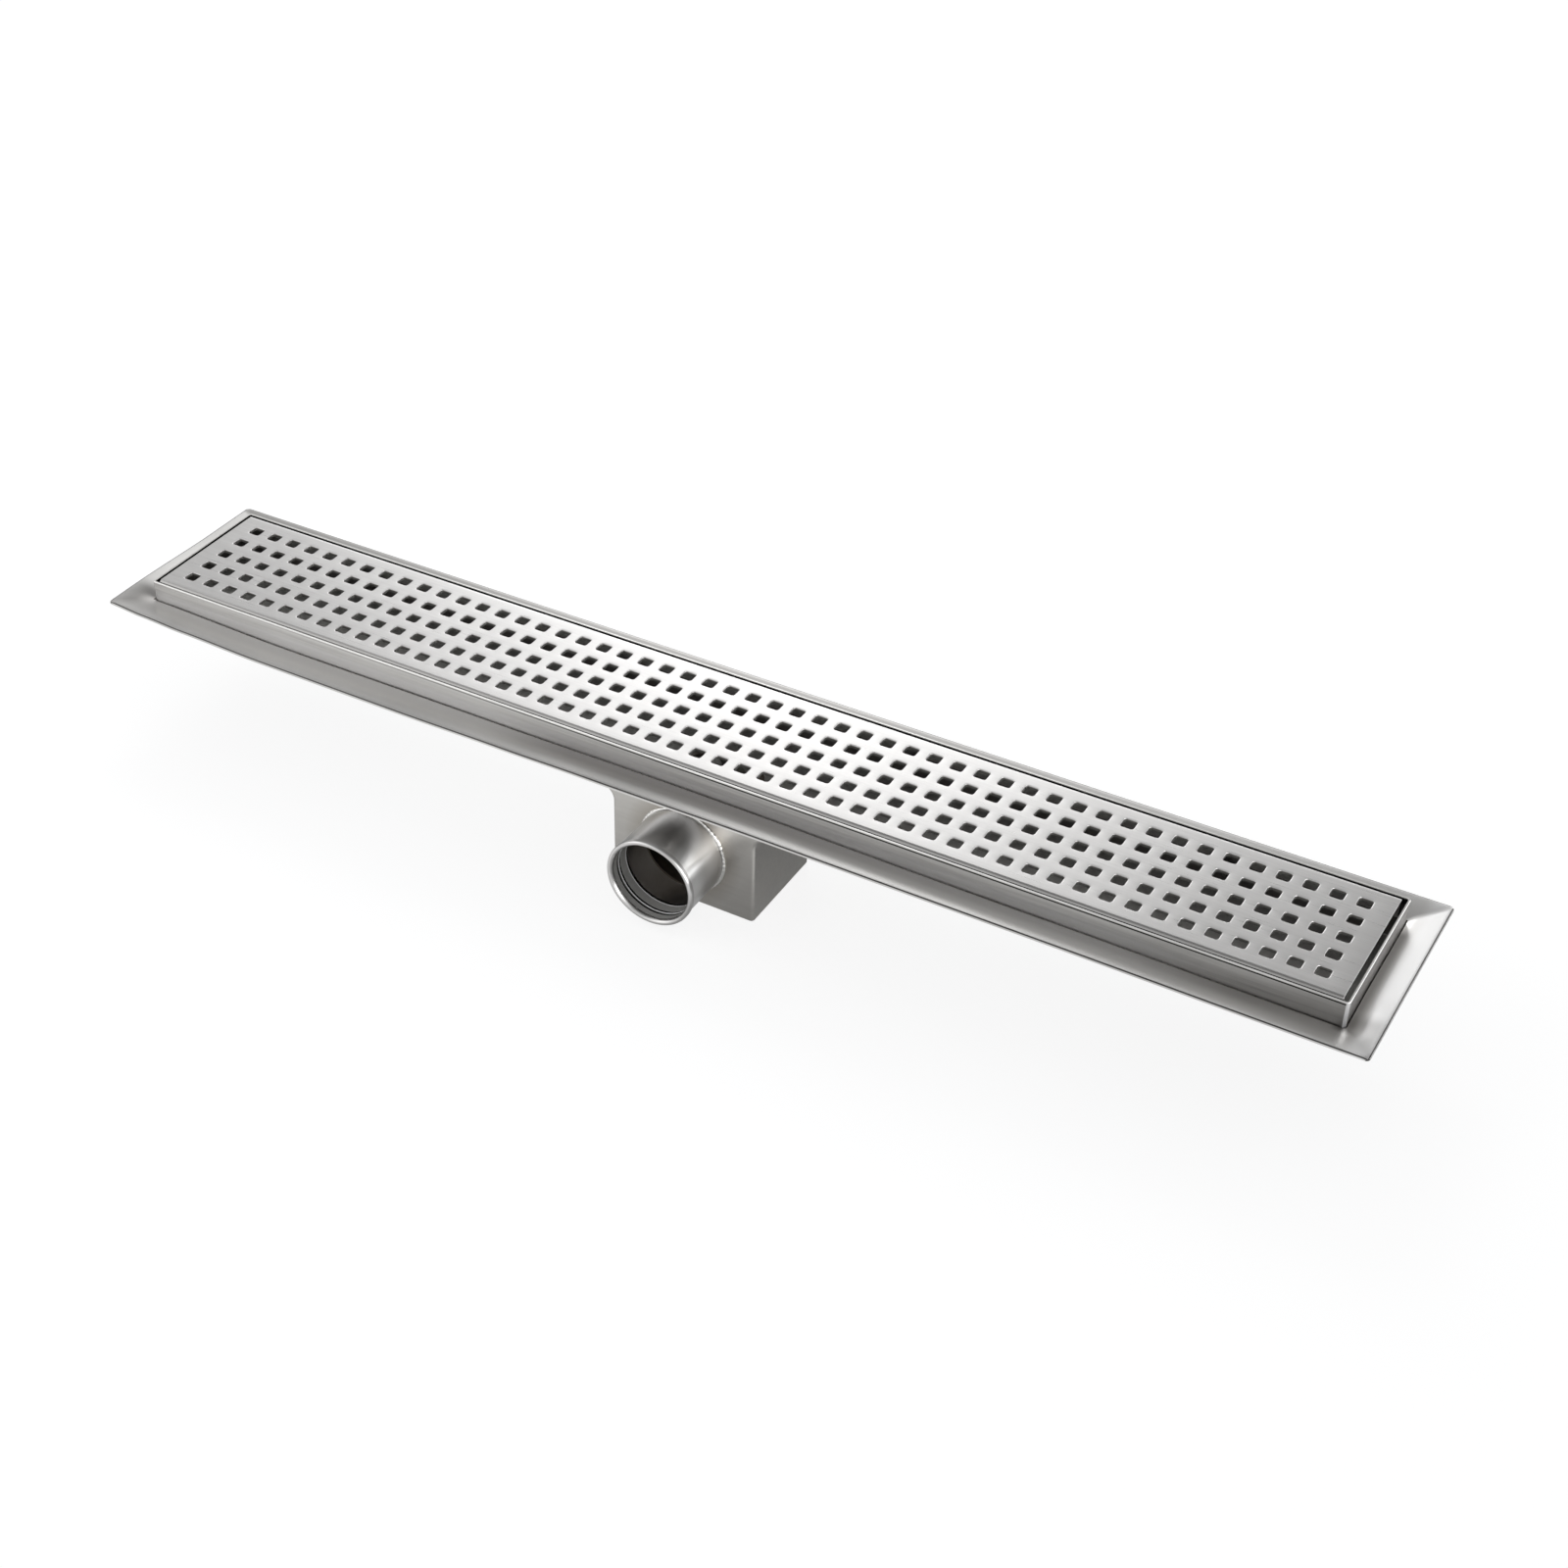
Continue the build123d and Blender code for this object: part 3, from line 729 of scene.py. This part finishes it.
def painted_collar_shade(tree, place, axes):
    """Painted shade: a dark band on the collar's front beside the channel, for the wall that it mirrors
    there.
    """
    near = ramp(tree, from_channel(tree, place), 6, 24, 0.93, 0.0)
    left = ramp(tree, axes["X"], -130, -60, 0.8, 1.0)
    middle = ramp(tree, axes["X"], -30, 250, 1.0, 0.82)
    right = times(tree, middle, ramp(tree, axes["X"], 300, 350, 1.0, 0.65))
    near = times(tree, near, times(tree, left, right))
    return times(tree, near, ramp(tree, axes["Y"], -30, -40, 0.0, 1.0))


def painted_right_joint_shade(tree, place, axes):
    """Painted shade: a dark strip beside the right end's joint with the channel."""
    near = ramp(tree, from_channel(tree, place), 2, 7.5, 0.72, 0.0)
    end = times(tree, near, ramp(tree, axes["X"], 345, 352, 0.0, 1.0))
    return times(tree, end, ramp(tree, axes["Y"], 30, 40, 1.0, 0.0))


def painted_right_flange_light(tree, place, axes):
    """Painted light: the outer part of the right end drawn lighter."""
    return ramp(tree, axes["X"], 356, 363, 0.0, 0.65)


def painted_back_flange_shade(tree, place, axes):
    """Painted shade: the back flange drawn darker, as far as its right quarter."""
    film = ramp(tree, axes["Y"], 57.2, 60, 0.0, 0.55)
    return times(tree, film, ramp(tree, axes["X"], 100, 300, 1.0, 0.0))


def painted_edge_shade_line(tree, place, axes):
    """Painted shade: a dark line along the flange's outer edge, half a millimetre in."""
    aside = add(tree, "ShaderNodeVectorMath", {0: place}, operation="ABSOLUTE").outputs[0]
    inside = add(tree, "ShaderNodeVectorMath", {0: (*collar_half * MM, 0), 1: aside}, operation="SUBTRACT")
    inside = add(tree, "ShaderNodeSeparateXYZ", {0: inside.outputs[0]}).outputs
    depth = add(tree, "ShaderNodeMath", {0: inside["X"], 1: inside["Y"]}, operation="MINIMUM").outputs[0]
    away = add(tree, "ShaderNodeMath", {0: depth, 1: 0.5 * MM}, operation="SUBTRACT").outputs[0]
    return ramp(tree, magnitude(tree, away), 0.25, 0.5, 0.85, 0.0)


def painted_joint_shade(tree, place, axes):
    """Painted shade: the dark line in the crevice of the joint at the channel's wall."""
    return ramp(tree, from_channel(tree, place), 0.35, 0.9, 1.0, 0.0)


# Stainless steel, pressed and satin: almost no grain, so that only its waves shape what it mirrors.
pressed = steel("stainless_pressed_satin", "e1e0de", 0.3, (30, 120, 120), streak=0.02, bump=0.02)
# Painted light on the right flange, and painted shade on the back, beside the channel, at the edge and
# joints.
for mask_of, code in (
        (painted_right_flange_light, "ffffff"), (painted_back_flange_shade, "8a8886"), (painted_collar_shade, "5f5c5a"),
        (painted_right_joint_shade, "4a4745"), (painted_edge_shade_line, "2a2826"), (painted_joint_shade, "2e2925")):
    tinted(pressed, mask_of, code)
collar.data.materials.append(pressed)

# Outlet stub
# A 50 mm tube end, welded to the box's front plate, with a thick rounded lip at its mouth.
# It was polished while it turned, so its fine grain runs round it.
pipe_low, pipe_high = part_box("outlet_pipe")
pipe_z = (pipe_low.z + pipe_high.z) / 2 / MM
pipe_radius = (pipe_high.x - pipe_low.x) / 2 / MM
pipe_root = pipe_high.y / MM
pipe_mouth = pipe_low.y / MM
pipe_bore = 23.5
lip_bore = 22.7
lip_length = 3.0
lip_round = 1.2
lip_swell = 0.7
lip_flare = 2.4
neck_run = 0.6
neck_step = 0.2
root_chamfer = (0.8, 2.0)


def turned_round_y(profile, count=160):
    """A profile of (radius, y) points turned round the stub's axis."""
    angle = np.linspace(0, 2 * np.pi, count + 1)[None]
    radius, y = profile[:, :1], profile[:, 1:]
    return np.stack(np.broadcast_arrays(radius * np.sin(angle), y, pipe_z + radius * np.cos(angle)), axis=-1)


lip_turn = np.linspace(0, np.pi / 2, 8)
lip_radius = pipe_radius + lip_swell
lip_face = lip_radius - lip_round - lip_bore
lip_end = pipe_mouth + lip_length
outer_lip = np.stack([
    lip_radius - lip_round * (1 - np.cos(lip_turn)),
    pipe_mouth + lip_round * (1 - np.sin(lip_turn))], axis=-1)
inner_lip = np.stack([
    lip_bore + lip_face * (1 - np.sin(lip_turn)),
    pipe_mouth + lip_flare * (1 - np.cos(lip_turn))], axis=-1)
stub_profile = np.concatenate([
    [(pipe_bore, pipe_root), (pipe_radius - root_chamfer[0], pipe_root)],
    [(pipe_radius, pipe_root - root_chamfer[1])],
    [(pipe_radius, lip_end + neck_run), (lip_radius, lip_end - neck_step)],
    outer_lip, inner_lip,
    [(lip_bore + neck_step, lip_end - neck_run), (pipe_bore, lip_end), (pipe_bore, pipe_root)]])
stub = build("outlet_stub", [turned_round_y(stub_profile)], sharp=35)
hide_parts("outlet_pipe")


def painted_mouth_highlight(tree, place, axes):
    """Painted highlight: the right side of the stub near its mouth drawn brighter."""
    near = ramp(tree, axes["Y"], -71, -60, 1.0, 0.0)
    near = times(tree, near, ramp(tree, axes["Y"], -74.8, -74.2, 0.0, 1.0))
    return times(tree, near, ramp(tree, axes["X"], 2, 14, 0.0, 1.0))


# Stainless steel, turned and polished: a smooth satin whose highlights run along the stub.
turned_steel = steel(
    "stainless_turned_satin", "cfcecd", 0.28, (4, 250, 4),
    streak=0.004, bump=0.0, along=(0, 1, 0), detail=0.0)
# Painted highlight on the right side of the stub's end.
tinted(turned_steel, painted_mouth_highlight, "f8f8f7")
stub.data.materials.append(turned_steel)

# Weld bead
# A narrow bright bead of filler round the stub's root, laid in one pass and left as it cooled,
# so its width and height change a little with every ripple.
bead_leg = 1.5
bead_fill = 0.96
# The ripples are a sum of sine waves: how many there are round the stub, their size and their start.
bead_waves = ((60, 0.05, 0), (7, 0.14, 1), (4, 0.1, 0))
bead_turn = np.linspace(0, np.pi / 2, 7)[:, None]
bead_angle = np.linspace(0, 2 * np.pi, 241)[None]
bead_size = np.full(bead_angle.shape, bead_leg)
for count, size, start in bead_waves:
    bead_size += bead_leg * size * np.sin(count * bead_angle + start)
foot_radius = np.full(bead_angle.shape, pipe_radius - root_chamfer[0])
foot_y = np.full(bead_angle.shape, pipe_root)
bead_radius = np.concatenate([
    foot_radius, pipe_radius + bead_size * np.cos(bead_turn) * bead_fill, foot_radius])
bead_y = np.concatenate([foot_y, pipe_root - bead_size * np.sin(bead_turn) * bead_fill, foot_y])
bead_grid = np.stack([
    bead_radius * np.sin(bead_angle), bead_y, pipe_z + bead_radius * np.cos(bead_angle)], axis=-1)
bead = build("outlet_weld_bead", [bead_grid], sharp=60)
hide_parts("outlet_weld")
# Stainless filler, cooled bright: a sharp gloss that breaks into small lights along the ripples.
bead.data.materials.append(steel(
    "stainless_weld_bead", "e6e5e2", 0.16, (300, 300, 300), streak=0.1, bump=0.1))

# Outlet seal
# A grey rubber ring with fine ribs, pressed into the stub's mouth to grip the waste pipe.
# It is moulded in one piece, and the crests of its highest ribs carry a painted highlight.
seal_start = lip_end + 0.1
# Its section, front to back: how far each point stands from the seal's front and from the bore.
seal_section = (
    (0.0, 0.0), (0.0, 0.3), (3.2, 0.3), (3.3, 0.03), (4.5, 0.03), (4.6, 0.55), (5.2, 0.55), (5.3, 0.03),
    (6.7, 0.03), (6.8, 0.3), (11.4, 0.3), (11.6, 0.48), (12.2, 0.48), (12.3, 0.03), (14.0, 0.03),
    (14.0, 0.0), (0.0, 0.0))
seal_profile = np.array([(pipe_bore - rise, seal_start + run) for run, rise in seal_section])
seal = build("outlet_seal_ring", [turned_round_y(seal_profile)], sharp=60)
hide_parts("outlet_seal")


def moulded(name, code, roughness, grit):
    """Moulded rubber or plastic: one colour with a faint even grit, grit being the grains per metre."""
    material, tree = empty_material(name)
    place = add(tree, "ShaderNodeTexCoord").outputs["Object"]
    grain = add(tree, "ShaderNodeTexNoise", {"Vector": place, "Scale": grit, "Detail": 3.0})
    tone = add(tree, "ShaderNodeMapRange", {"Value": grain.outputs["Fac"], "To Min": 0.85, "To Max": 1.15})
    colour = add(tree, "ShaderNodeMix", {
        "Factor": 1.0, "A": linear(code), "B": tone.outputs[0]}, data_type="RGBA", blend_type="MULTIPLY")
    ripple = add(tree, "ShaderNodeBump", {
        "Height": grain.outputs["Fac"], "Strength": 0.06, "Distance": 0.0002})
    shader = add(tree, "ShaderNodeBsdfPrincipled", {
        "Base Color": colour.outputs[2], "Roughness": roughness, "IOR": 1.5, "Normal": ripple.outputs[0]})
    add(tree, "ShaderNodeOutputMaterial", {"Surface": shader.outputs[0]})
    return material


def from_axis(tree, place):
    """How far a place stands from the stub's axis, in metres."""
    arm = add(tree, "ShaderNodeVectorMath", {0: place, 1: (0, 0, pipe_z * MM)}, operation="SUBTRACT")
    arm = add(tree, "ShaderNodeVectorMath", {0: arm.outputs[0], 1: (1, 0, 1)}, operation="MULTIPLY")
    return add(tree, "ShaderNodeVectorMath", {0: arm.outputs[0]}, operation="LENGTH").outputs["Value"]


def painted_groove_shade(tree, place, axes):
    """Painted shade: the grooves between the ribs near black, as no light reaches them."""
    return ramp(tree, from_axis(tree, place), pipe_bore - 0.24, pipe_bore - 0.12, 0.0, 1.0)


def painted_crest_highlight(tree, place, axes):
    """Painted highlight: the crests of the highest ribs drawn white."""
    return ramp(tree, from_axis(tree, place), pipe_bore - 0.54, pipe_bore - 0.36, 1.0, 0.0)


# Silicone rubber, moulded and a little glossy: rings of soft light, with painted highlights on the highest
# crests, between black lines of painted shade.
seal_rubber = moulded("rubber_grey", "a3a29f", 0.22, 900)
tinted(seal_rubber, painted_groove_shade, "0c0c0b")
tinted(seal_rubber, painted_crest_highlight, "ffffff")
seal.data.materials.append(seal_rubber)

# Trap box
# A deep sump pressed from sheet, with a plain mill finish. Its sides flare out under the channel, and
# the heat of the outlet's weld has left a faint straw tint on its front.


def finish_nodes(material, *nodes):
    """Give CAD nodes a finish in place of the plain one that they came with."""
    for name in nodes:
        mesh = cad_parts[name].data
        mesh.materials.clear()
        mesh.materials.append(material)


def straw_tint(tree, place, axes):
    """The tint round the outlet's weld, strongest beside the bead."""
    return add(tree, "ShaderNodeMapRange", {
        "Value": from_axis(tree, place), "From Min": (pipe_radius + 2) * MM,
        "From Max": (pipe_radius + 11) * MM, "To Min": 0.38, "To Max": 0.0}).outputs[0]


# Stainless steel as it leaves the mill: an even, cloudy grey with a faint upright grain.
mill_steel = steel("stainless_mill_finish", "c4c2be", 0.33, (40, 400, 400), streak=0.05, bump=0.05)
tinted(mill_steel, straw_tint, "8f8474")
finish_nodes(mill_steel, "trap_box")
# The inside is drawn a browner, duller, half-metallic steel, so the stub's bore ends in a brown dusk.
trap_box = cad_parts["trap_box"]
trap_box.data.materials.append(steel("stainless_inside_box", "8c8276", 0.5, (40, 300, 300), metallic=0.3))
normals, middles = faces_of(trap_box)
box_low, box_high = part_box("trap_box")
inward = ((middles - np.array(box_low + box_high) / 2 / MM) * normals).sum(axis=1) < 0
trap_box.data.polygons.foreach_set("material_index", inward.astype(np.int32))

# Odour trap and strainer
# A steel seat ring in the channel's floor holds a grey moulded drop tube with its O-ring and cup.
# A pressed steel hair strainer with a turned knob hangs in the tube's mouth, under the cover.

# Plain stainless steel: dull grey shapes that just show through the holes.
inner_steel = steel("stainless_plain_inside", "9c9b97", 0.34, (60, 300, 300), streak=0.04)
finish_nodes(inner_steel, "seat_ring", "hair_strainer", "strainer_knob")
# Injection-moulded polypropylene: an even warm grey with a waxy gloss.
finish_nodes(moulded("polypropylene_grey", "6b6259", 0.2, 500), "drop_tube", "trap_cup")
# Moulded nitrile rubber: near black, with a soft gloss.
rubber = moulded("rubber_black", "3c3b3a", 0.3, 900)
finish_nodes(rubber, "tube_oring")

# Cover rests
# Eight small steel brackets, welded inside the channel, each with a rubber pad that the cover stands on.
for side in ("back", "front"):
    for number in range(1, 5):
        finish_nodes(inner_steel, f"cover_rest_{side}_{number}")
        finish_nodes(rubber, f"rest_pad_{side}_{number}")
